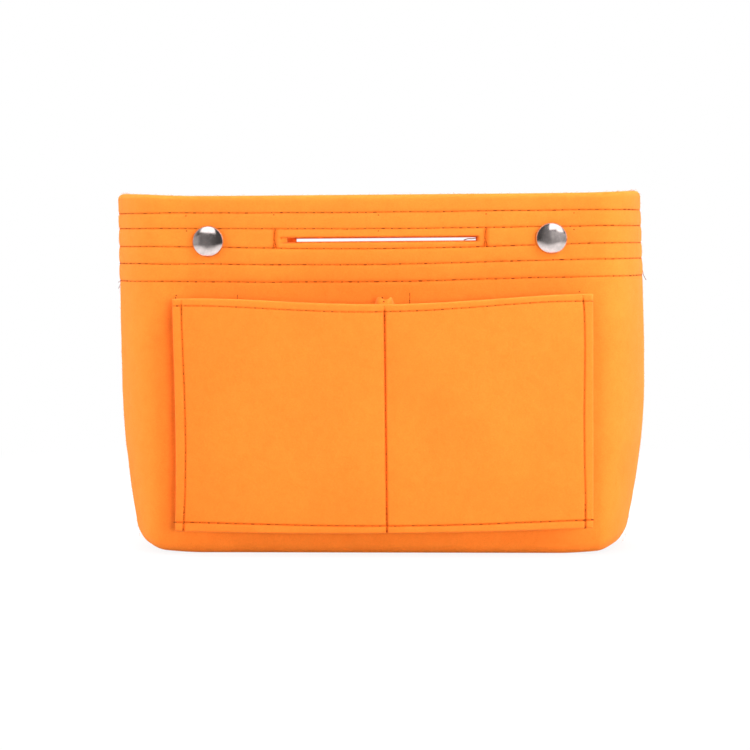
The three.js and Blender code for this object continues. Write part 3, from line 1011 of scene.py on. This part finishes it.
def pocket_relief(x, z, side):
    """How far the pocket's face stands proud of its plane. Each compartment is a shallow pillow. The
    seams are grooves, the middle one wide and deep because the divider pulls it in, and the pinched
    strips beyond the outer seams are low beads."""
    left, middle, right = left_seam(z), middle_seam(z), right_seam(z)
    low, top = bottom_seam(x), mouth_seam(x)
    in_left = np.clip((x - left) / (middle - left), 0, 1)
    in_right = np.clip((x - middle) / (right - middle), 0, 1)
    arch = (1 - (2 * in_left - 1) ** 4) * (x < middle) + (1 - (2 * in_right - 1) ** 4) * (x >= middle)
    up = np.clip((z - low) / (top - low), 0, 1)
    lift = smooth_step(up / 0.22) * (0.75 + 0.25 * up)
    height = pocket_pillow * arch * lift + 0.28 * unevenness(x, z, 46, 21 + side) * arch
    height = height + 0.10 * unevenness(x, z, 15, 23 + side)
    below_mouth = 0.15 + 0.85 * smooth_step((top + 2.2 - z) / 2.5)
    seams = [
        (x - left, 0.4, 0.45), (x - right, 0.4, 0.45), (z - low, 0.4, 0.45),
        (z - top, 0.25, 0.45), (x - middle, 0.9 * below_mouth, 0.55), (x - middle, 0.5, 4.0),
    ]
    for away, depth, width in seams:
        height = height - depth * bell(away, width)
    return height


def pocket_grid(side):
    """The face's x and heights as grids. Columns run between its upright lines and rows between its
    level lines, closer together beside a seam or an edge."""
    strip = np.array([0, 0.04, 0.1, 0.19, 0.3, 0.45, 0.62, 0.76, 0.87, 0.95])
    t = np.linspace(0, 1, 74)[:-1]
    panel = t - 0.13 * np.sin(2 * np.pi * t)
    t_up = np.linspace(0, 1, 82)[:-1]
    panel_up = t_up - 0.13 * np.sin(2 * np.pi * t_up)
    nominal = np.concatenate([11 + 4 * strip, 15 + 95 * panel_up, 113.8 - 3.5 * strip[::-1]])[None, :]
    uprights = [line(nominal) for line in (left_edge, left_seam, middle_seam, right_seam, right_edge)]
    shares = [strip, panel, panel, 1 - strip[::-1]]
    columns = [
        low + (high - low) * share[:, None]
        for low, high, share in zip(uprights[:-1], uprights[1:], shares)
    ]
    x = np.concatenate([*columns, uprights[-1]], 0)
    up = np.concatenate([strip, 1 + panel_up, 3 - strip[::-1]])
    levels = [line(x) for line in (pocket_foot, bottom_seam, mouth_seam, mouth)]
    z = levels[0]
    for step in range(3):
        z = z + (levels[step + 1] - levels[step]) * np.clip(up - step, 0, 1)
    return x, z


def pocket_face(side):
    """The face's two surfaces, and how deep in colour they are: most beside the seams, where they are
    pressed, a little all over, and more towards the foot and the left as painted shade."""
    x, z = pocket_grid(side)
    height = pocket_relief(x, z, side)
    edges = [x - left_edge(z), right_edge(z) - x, z - pocket_foot(x), mouth(x) - z]
    edge = np.clip(np.min(edges, 0), 0, None)
    outer_y = face_out + height - rounding(edge)
    inner_y = face_out - felt_thick + height + rounding(edge)
    # Painted shade: deeper towards the foot and the left, over a little all over.
    pressed_and_shade = 0.15 - 0.0006 * x + 0.05 * (1 - z / 60)
    below_mouth = smooth_step((mouth_seam(x) + 1.6 - z) / 1.5)
    for away, strength in (
        (x - left_seam(z), 0.7 * below_mouth), (x - right_seam(z), 0.85 * below_mouth),
        (x - middle_seam(z), below_mouth), (z - bottom_seam(x), 0.75), (z - mouth_seam(x), 0.45),
    ):
        pressed_and_shade = pressed_and_shade + strength * bell(away, 0.4)
    return points_of(x, side * outer_y, z), points_of(x, side * inner_y, z), np.clip(pressed_and_shade, 0, 1)


def gusset(side):
    """The strip round the pocket's closed sides, mitred at the corners. Its section is a flange that
    lies behind the face's edge, then a web that bends in and runs back to the wall."""
    line = smooth_line([
        (0.3, gusset_out - 0.9), (3.0, gusset_out - 0.95), (4.4, gusset_out - 1.5),
        (5.3, gusset_out - 4.0), (5.6, gusset_out - 6.0), (4.7, gusset_out - 8.4),
        (4.5, half_depth - 0.5),
    ], 40)
    slope = unit(np.gradient(line, axis=0))
    down = np.linspace(0, 1, 60)[:, None]
    sheets = []
    for half in (lining_thick / 2, -lining_thick / 2):
        inset, y = line[:, 0] + half * slope[:, 1], side * (line[:, 1] - half * slope[:, 0])
        runs = []
        for edge, at, inward in ((left_edge, -90.0, 1), (right_edge, 93.0, -1)):
            top = mouth(at) - 0.6
            z = top + (pocket_foot(at) + inset - top) * down
            runs.append(points_of(edge(z) + inward * inset, y, z))
        left, right = runs
        x = left[-1, :, 0] + (right[-1, :, 0] - left[-1, :, 0]) * np.linspace(0, 1, 90)[:, None]
        floor = points_of(x, y, pocket_foot(x) + inset)
        sheets.append(np.concatenate([left, floor[1:-1], right[::-1]]))
    return sheets


def divider(side):
    """The V that parts the pocket: a strip whose line, seen from above, goes from one foot at the
    wall to the fold behind the face and back to the other foot. Its top edge stands a little above
    the mouth in two round lobes, the left one higher."""
    spread = 4.0
    knees = [
        (-spread - 0.7, half_depth - 0.2), (-spread, half_depth + 1.8), (-3.2, 45.5), (-2.0, 48.6),
        (0, gusset_out - 0.9), (1.8, 48.6), (2.9, 45.5), (spread, half_depth + 1.8),
        (spread + 0.7, half_depth - 0.2),
    ]
    line = smooth_line(knees, 61)
    slope = unit(np.gradient(line, axis=0))
    crest = (109.0, 111.8, 114.6, 114.9, 113.9, 114.1, 114.7, 111.8, 109.0)
    top = smooth_line(np.stack([np.arange(9), crest], -1), 61)[:, 1]
    low = pocket_foot(0.0) + 5.0
    up = np.linspace(0, 1, 50) ** 0.9
    z = low + (top - low)[:, None] * up[None, :]
    edge = top[:, None] - z
    sheets = []
    for half in (lining_thick / 2, -lining_thick / 2):
        thin = half * (1 - rounding(edge, 0.8))
        x = middle_seam(z) + line[:, 0][:, None] - thin * slope[:, 1][:, None]
        y = line[:, 1][:, None] + thin * slope[:, 0][:, None]
        sheets.append(points_of(x, side * y, z))
    return sheets


def face_seam(x, z, side, seed, **how):
    """Stitches on the pocket's face along a line of places."""
    path = points_of(x, side * (face_out + pocket_relief(x, z, side)), z)
    return sew(path, all_facing(path, 0, side, 0), seed, **how)


for side_name, side in sides:
    body = f"{side_name}_side"
    outer, inner, pressed_and_shade = pocket_face(side)
    face = felt_mesh(f"{side_name}_pocket_front", outer, inner, felt, pressed_and_shade)
    strip = felt_mesh(f"{side_name}_pocket_gusset_strip", *gusset(side), felt)
    fold = felt_mesh(f"{side_name}_pocket_divider_fold", *divider(side), felt)
    work = []
    across = np.linspace(0, 1, 600)
    uprights = (  # each upright seam's line, its foot and its top
        (left_seam, 11.9, mouth_seam(-88.0) + 0.4),
        (right_seam, 13.4, mouth_seam(92.0) + 2.2),
        (middle_seam, 11.4, mouth(2.0) - 1.6),
    )
    for number, (seam, foot, top) in enumerate(uprights):
        z = foot + (top - foot) * across
        x = seam(z) + 0.09 * unevenness(z, 0, 14, 5 + number)
        work += face_seam(x, z, side, 200 + number, dive=0.5, torn=0.5)
        backs = (  # where it is sewn back over itself, at the foot and below the mouth
            (foot + 10 * across[::6], -0.3, 2.6, 210),
            (mouth_seam(seam(100)) - 4 + 4.2 * across[::6], 0.25, 2.1, 220),
        )
        for z, aside, pitch, seed in backs:
            x = seam(z) + aside
            work += face_seam(x, z, side, seed + number, pitch=pitch, radius=0.22, torn=0.7)
    x = -90.4 + 183.8 * across
    work += face_seam(x, bottom_seam(x) + 0.13 * unevenness(x, 0, 26, 8), side, 203)
    x = -89.2 + 182.0 * across
    work += face_seam(x, mouth_seam(x) + 0.13 * unevenness(x, 0, 26, 9), side, 204, torn=0.7)
    if side < 0:  # two needle marks at the top of the divider's fold, their shadow painted as dark beads
        for aside, z in ((0.9, 114.7), (0.2, 113.0)):
            work.append(bead(middle_seam(112) - aside, -gusset_out, z, 0.2, -0.3, 0.15, 0.34))
    seams = thread_mesh(f"{side_name}_pocket_stitches", work)
    for piece in (face, strip, fold, seams):
        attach(piece, body)
    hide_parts(f"{side_name}_pocket_face")
    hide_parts(f"{side_name}_pocket_gusset")
    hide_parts(f"{side_name}_pocket_divider")

# The inside pockets: on each long wall one thinner panel of felt, sewn to the wall along its bottom
# and four upright seams so that it stands off in between, as a pen pocket and two wide ones.

lining_foot = node_box("inner_front_pocket_panel")[0][2]
lining_seams = (-91.0, -63.4, 13.3, 88.0)
seam_tops = (114.4, 115.5, 116.3, 114.8)  # where the seams end, near the panel's top
lining_seat = half_depth - felt_thick - 0.15
lining_bulge = 8.0
lining_rise = 12.0
lining_top = 115.4


def lining_stand_off(x, z):
    """How far the panel stands off the wall: 0 at a seam and an arch between two, which opens out as
    a quarter circle above the bottom seam and is widest at the mouth."""
    part = np.interp(x, lining_seams, np.arange(4.0))
    share = part - np.floor(np.minimum(part, 2.999))
    wide = np.where(part < 1, 0.62, 1.0)
    arch = (1 - np.abs(2 * share - 1) ** 3.2) * wide
    rise = np.clip((z - lining_foot - 2.5) / lining_rise, 0, 1)
    return lining_bulge * arch * np.sqrt(rise * (2 - rise)) * (0.82 + 0.18 * (z / lining_top))


def lining_surface(side, lift):
    """One face of the panel as a grid from left to right and bottom to top, lifted off its seat."""
    steps = [0, 0.015, 0.04, 0.09, 0.17, 0.28, 0.42, 0.58, 0.72, 0.83, 0.91, 0.96, 0.985, 1]
    share = np.interp(np.linspace(0, 1, 40)[:-1], np.linspace(0, 1, 14), steps)
    margin = np.array([0, 1.5, 2.4, 3.0])  # beyond the outer seams
    pockets = zip(lining_seams[:-1], lining_seams[1:])
    x = [lining_seams[0] - margin[:0:-1], *[left + (right - left) * share for left, right in pockets]]
    x = np.concatenate([*x, lining_seams[-1] + margin])[:, None]
    low = lining_foot - 0.5
    top = lining_top + 0.5 * unevenness(x, 0, 70, 91 + side)
    up = [np.linspace(0, 0.16, 14), np.linspace(0.16, 0.97, 44)[1:], np.linspace(0.97, 1, 7)[1:]]
    z = low + (top - low) * np.concatenate(up)[None, :]
    sway = wall_sway(np.abs(x), z, np.sign(x), side)
    pinch = np.zeros(z.shape)
    for seam in lining_seams:
        pinch = pinch + 0.35 * bell(x - seam, 0.8)
    edge = np.minimum(top - z, np.minimum(x - x[0], x[-1] - x))
    thin = (lining_thick / 2 - rounding(edge, 0.8)) * np.where(lift > 0, 1, -1)
    away = lining_stand_off(x, z) + lining_thick / 2 + thin - pinch * (lift > 0)
    away = away + 0.25 * unevenness(x, z, 33, 95 + side) * np.clip(lining_stand_off(x, z) / 3, 0, 1)
    return points_of(x, side * (lining_seat - sway - away), z)


for side_name, side in sides:
    panel = felt_mesh(
        f"{side_name}_inner_pockets", lining_surface(side, 1), lining_surface(side, 0), felt
    )
    work = []
    for number, (seam, top) in enumerate(zip(lining_seams, seam_tops)):
        for first, facing in ((lining_foot + 1.5, -side), (20.0, side)):
            z = np.linspace(top, first, 500)
            x = seam + 0.2 * unevenness(z, 0, 45, 70 + number)
            y = half_depth - wall_sway(np.abs(x), z, np.sign(seam), side)
            if facing == -side:
                y = y - half_depth + lining_seat - np.where(z < lining_top, lining_thick - 0.3, 0)
            path = points_of(x, side * y, z)
            outward = all_facing(path, 0, facing, 0)
            work += sew(path, outward, 300 + number)
            work += sew(path[:36], outward[:36], 320 + number, pitch=1.5, torn=0.8)  # sewn back over
    x = np.linspace(lining_seams[0], lining_seams[-1], 700)
    z = lining_foot + 2.0 + 0 * x
    y = lining_seat - wall_sway(np.abs(x), z, np.sign(x), side) - lining_thick + 0.1
    path = points_of(x, side * y, z)
    work += sew(path, all_facing(path, 0, -side, 0), 310)
    seams = thread_mesh(f"{side_name}_inner_pocket_stitches", work)
    for piece in (panel, seams):
        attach(piece, f"{side_name}_side")
    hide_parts(f"inner_{side_name}_pocket_panel")

# The felt's nap: loose wool fibres that stand off the walls, the rim and the outside pockets. They are
# of the felt itself, rooted in it at one end, and show as a soft fringe along the outlines.

fibre_radius = 0.022
wall_fibres = 1500  # on each half of a wall
hem_fibres = 420  # on its rim
pocket_fibres = 1400  # on each outside pocket
mouth_fibres = 260  # on its mouth's edge


def fibres(roots, outward, seed, stand=0.45):
    """Fine curved tubes, one from each root. A fibre sets off along the felt in any direction, rises
    off it by up to the stand and bends sideways as it goes."""
    draw = np.random.default_rng(seed)
    outward = unit(outward)
    heading = unit(np.cross(outward, draw.normal(size=roots.shape)))
    aside = np.cross(outward, heading)
    count = len(roots)
    length = draw.uniform(0.7, 2.4, (count, 1, 1))
    rise = draw.uniform(0.2, 1.0, (count, 1, 1)) * stand
    bend = draw.normal(0, 0.35, (count, 1, 1)) * length
    t = np.linspace(0, 1, 5)[None, :, None]
    paths = roots[:, None] + heading[:, None] * length * t + aside[:, None] * bend * t**2
    paths = paths + outward[:, None] * (rise * np.sin(np.pi * 0.75 * t) - 0.06 * (1 - t))
    taper = np.array([1.0, 1.0, 0.9, 0.7, 0.35])
    radii = fibre_radius * draw.uniform(0.6, 1.3, (count, 1)) * taper
    return tubes(paths, np.repeat(outward[:, None], 5, 1), radii, 4)


def nap_mesh(name, tufts):
    """One piece of several lots of fibres."""
    points = np.concatenate([lot[0] for lot in tufts])
    starts = np.cumsum([0] + [len(lot[0]) for lot in tufts[:-1]])
    quads = np.concatenate([lot[1] + start for lot, start in zip(tufts, starts)])
    piece = mesh_object(name, points, quads, [felt])
    return piece


for side_name, side in sides:
    for hand_name, hand in hands:
        draw = np.random.default_rng(500 + 10 * side + hand)
        along = draw.uniform(0, half_round - 0.5, wall_fibres)
        z = draw.uniform(3, 158.5, wall_fibres)
        in_slit = (along < slit_half_length + 2) & (np.abs(z - snap_height) < 3)
        on_snap = np.hypot(along - snap_x, z - snap_height) < snap_flat
        z = np.where(in_slit | on_snap, z - 22, z)
        roots = wall_face(along, z, hand, side)
        raised = wall_face(along, z, hand, side, lift=1.0)
        body_fibres = fibres(roots, raised - roots, 510 + side + hand)
        along = draw.uniform(0, half_round - 0.5, hem_fibres)
        turn_over = draw.uniform(0.15, np.pi - 0.15, hem_fibres)
        top = rim_height(hand * x_along(along)) - rim_radius
        sway = wall_sway(along, top + rim_radius, hand, side)
        inset = rim_radius * (1 - np.cos(turn_over)) + sway
        roots = wall_place(along, top + rim_radius * np.sin(turn_over), inset, hand, side)
        centre = wall_place(along, top, rim_radius + sway, hand, side)
        rim_fibres = fibres(roots, roots - centre, 520 + side + hand)
        nap = nap_mesh(f"{side_name}_nap_{hand_name}", [body_fibres, rim_fibres])
        follow_wall(nap)
    x = draw.uniform(left_edge(60) + 1, right_edge(60) - 1, pocket_fibres)
    z = draw.uniform(12, 112, pocket_fibres)
    roots = points_of(x, side * (face_out + pocket_relief(x, z, side)), z)
    lots = [fibres(roots, all_facing(roots, 0, side, 0), 530 + side)]
    x = draw.uniform(left_edge(112) + 1, right_edge(112) - 1, mouth_fibres)
    y = side * (face_out - draw.uniform(0.4, 2, mouth_fibres))
    roots = points_of(x, y, mouth(x) - 0.15)
    lots.append(fibres(roots, all_facing(roots, 0, 0, 1), 540 + side))
    pocket_nap = nap_mesh(f"{side_name}_pocket_nap", lots)
    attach(pocket_nap, f"{side_name}_side")

# The floor, the light and the camera. A white sweep lies under the organiser. Two large soft lights at
# the sides do most; smaller ones stand at the left end, near right, low in front, low behind and above.
# A grey room and a dark screen, seen only in the metal, draw the caps' reflections.

ambient = 0.305  # the light of the white surroundings
bounce_grey = 0.48  # how much of the light on it the floor throws back


def seen_rays(tree):
    """1 for what the camera, metal and glass see, and 0 for light on its way to a surface."""
    rays = tree.nodes.new("ShaderNodeLightPath").outputs
    seen = rays["Is Camera Ray"]
    for kind in ("Is Glossy Ray", "Is Transmission Ray"):
        either = shader_node(tree, "ShaderNodeMath", {"operation": "MAXIMUM"}, _0=seen, _1=rays[kind])
        seen = either.outputs[0]
    return seen


def floor_finish():
    """White to the camera, to metal and to glass, with a share of true shading close to the organiser
    so that it keeps a faint shadow; plain grey to the light that bounces off it."""
    material, tree, shader = new_material("white_floor")
    tree.nodes.remove(shader)
    white = (1, 1, 1, 1)
    grey = (bounce_grey, bounce_grey, bounce_grey, 1)
    glow = shader_node(tree, "ShaderNodeEmission", Color=white, Strength=1.0).outputs[0]
    diffuse = shader_node(tree, "ShaderNodeBsdfDiffuse", Color=white).outputs[0]
    bounce = shader_node(tree, "ShaderNodeBsdfDiffuse", Color=grey).outputs[0]
    far = shader_node(tree, "ShaderNodeVectorMath", {"operation": "LENGTH"}, _0=object_place(tree))
    shaded = mapped(tree, far.outputs["Value"], 0.2, 0.5, 0.12, 0.0)
    shown = shader_node(tree, "ShaderNodeMixShader", _0=shaded, _1=glow, _2=diffuse).outputs[0]
    both = shader_node(tree, "ShaderNodeMixShader", _0=seen_rays(tree), _1=bounce, _2=shown).outputs[0]
    set_inputs(tree, tree.nodes["Material Output"], Surface=both)
    return material


floor_mesh = bpy.data.meshes.new("floor")
corners = [(x, y, -2e-4) for x, y in ((-4, -4), (4, -4), (4, 4), (-4, 4))]
floor_mesh.from_pydata(corners, [], [(0, 1, 2, 3)])
floor_mesh.materials.append(floor_finish())
floor = add_object("floor", floor_mesh)


def seen_in_metal(name, points, quads, glow):
    """A surface that glows as given at each point, seen only in reflections."""
    mesh = bpy.data.meshes.new(name)
    mesh.from_pydata((points.reshape(-1, 3) * MM).tolist(), [], quads.tolist())
    mark_points(mesh, "glow", glow)
    material, tree, shader = new_material(f"{name}_glow")
    tree.nodes.remove(shader)
    strength = shader_node(tree, "ShaderNodeAttribute", {"attribute_name": "glow"}).outputs["Fac"]
    shine = shader_node(tree, "ShaderNodeEmission", Color=(1, 1, 1, 1), Strength=strength).outputs[0]
    set_inputs(tree, tree.nodes["Material Output"], Surface=shine)
    mesh.materials.append(material)
    surface = add_object(name, mesh)
    surface.visible_camera = False
    surface.visible_diffuse = False
    surface.visible_transmission = False
    surface.visible_volume_scatter = False
    surface.visible_shadow = False
    return surface


bowl_radius = 1800
bowl_front = 264  # where its front is, as an angle in degrees about the object


def reflected_room():
    """A bowl round the set, 1.8 m out, that closes above it: grey in front, darker at the right and
    paler at the left, with one bright panel overhead in front and bright strips far to both sides.
    Below, it ends on the floor 0.2 m out, where its dark fades."""
    up = np.radians([8, 20, 28, 32, 36, 40, 48, 56, 64, 74, 82, 88])
    profile = np.concatenate([
        [(200, 2), (250, 2), (320, 2), (400, 2), (560, 2), (760, 2), (1700, 2), (1790, 60)],
        bowl_radius * np.stack([np.cos(up), np.sin(up)], -1),
    ])
    angle = np.arange(96) / 96 * 2 * np.pi
    radius, height = profile[:, 0][:, None], profile[:, 1][:, None]
    points = points_of(radius * np.cos(angle), radius * np.sin(angle), height)
    rightward = ((np.degrees(angle) - bowl_front + 180) % 360 - 180)[None, :]
    from_front = np.abs(rightward)
    grey = 0.19 - 0.13 * smooth_step((from_front - 20) / 40)
    grey = grey + 0.3 * smooth_step((-rightward - 46) / 10)
    sideways = np.maximum(rightward + 6, -rightward)
    strips = smooth_step((sideways - 76) / 8) * smooth_step((height - 100) / 150)
    elevation = np.degrees(np.arctan2(height, radius))
    panel = smooth_step((43 + rightward) / 6) * smooth_step((64 - rightward) / 6)
    panel = panel * smooth_step((elevation - 35 + 14 * smooth_step((rightward - 28) / 16)) / 4)
    beside = 1 + smooth_step((from_front - 12) / 40)
    fade = (1.0, 0.93, 0.54, 0.3, 0.1)
    floor_share = np.interp(radius / beside, (200, 250, 320, 400, 560), fade) * (height < 50)
    glow = np.maximum(np.maximum(grey, 0.85 * strips), np.maximum(1.6 * panel, floor_share))
    return seen_in_metal("reflected_room", points, grid_quads(len(profile), 96, wrap=True), glow)


def dark_screen():
    """A low screen close in front of the caps: dark at its middle and paler towards both ends, sooner
    at the right, so that each cap is paler on its outer side. Its middle goes on upward as a dark
    column, which parts the bright panel."""
    x = np.linspace(-260, 260, 105)
    glow = 0.065 + 0.11 * smooth_step((-x - 20) / 80) + 0.24 * smooth_step((-x - 116) / 34)
    glow = glow + 0.16 * smooth_step((x - 8) / 60) + 0.2 * smooth_step((x - 70) / 14)
    z = np.array([122, 176, 340])[:, None]
    glow = glow + 0.14 * smooth_step((x - 60) / 20) * (z - 140) / 36
    points = points_of(x, -100, z)
    quads = grid_quads(3, 105)
    in_column = (x[:-1] > -41) & (x[:-1] < 64)
    quads = quads[np.concatenate([np.ones(104, bool), in_column])]
    return seen_in_metal("dark_screen", points, quads, glow)


reflected_room()
dark_screen()


def soft_light(name, place, aim, size, power):
    """A square area light at a place, in metres, facing its aim."""
    data = bpy.data.lights.new(name, "AREA")
    data.size = size
    data.energy = power
    light = add_object(name, data)
    light.location = place
    light.rotation_euler = (Vector(aim) - Vector(place)).to_track_quat("-Z", "Y").to_euler()
    light.visible_glossy = False


soft_light("left_side", (-1.35, -0.4, 0.5), (0, 0, 0.08), 1.2, 15.2)
soft_light("right_side", (1.35, -0.45, 0.5), (0, 0, 0.08), 1.2, 15.0)
soft_light("left_end", (-1.3, 0.35, 0.4), (-0.1, 0, 0.08), 0.6, 6.0)
soft_light("near_right", (0.5, -0.5, 0.6), (0, 0, 0.1), 0.4, 2.6)
soft_light("low_front", (0.3, -1.2, 0.14), (0, 0, 0.05), 0.28, 7.4)
soft_light("low_back", (-0.3, 1.2, 0.3), (0, 0, 0.05), 0.5, 12.0)
soft_light("top", (0.0, 0.1, 1.4), (0, 0, 0.1), 0.8, 18.0)

world = bpy.data.worlds.new("white_surround")
bpy.context.scene.world = world
world.use_nodes = True
tree = world.node_tree
level = mapped(tree, seen_rays(tree), 0.0, 1.0, ambient, 1.0)
set_inputs(tree, tree.nodes["Background"], Color=(1, 1, 1, 1), Strength=level)

camera_data = bpy.data.cameras.new("camera")
camera_data.lens = 108.04
camera_data.sensor_width = 36
camera = add_object("camera", camera_data)
bpy.context.scene.camera = camera
azimuth = math.radians(2.2)
roll = math.radians(-0.184)
distance = 1.04
aim = Vector((-0.00365, 0, 0.07766))
eye = Vector((aim.x + distance * math.sin(azimuth), -distance * math.cos(azimuth), snap_height * MM))
turn = (aim - eye).to_track_quat("-Z", "Y").to_matrix().to_4x4()
camera.matrix_world = Matrix.Translation(eye) @ turn @ Matrix.Rotation(roll, 4, "Z")
bpy.context.scene.view_settings.view_transform = "Standard"
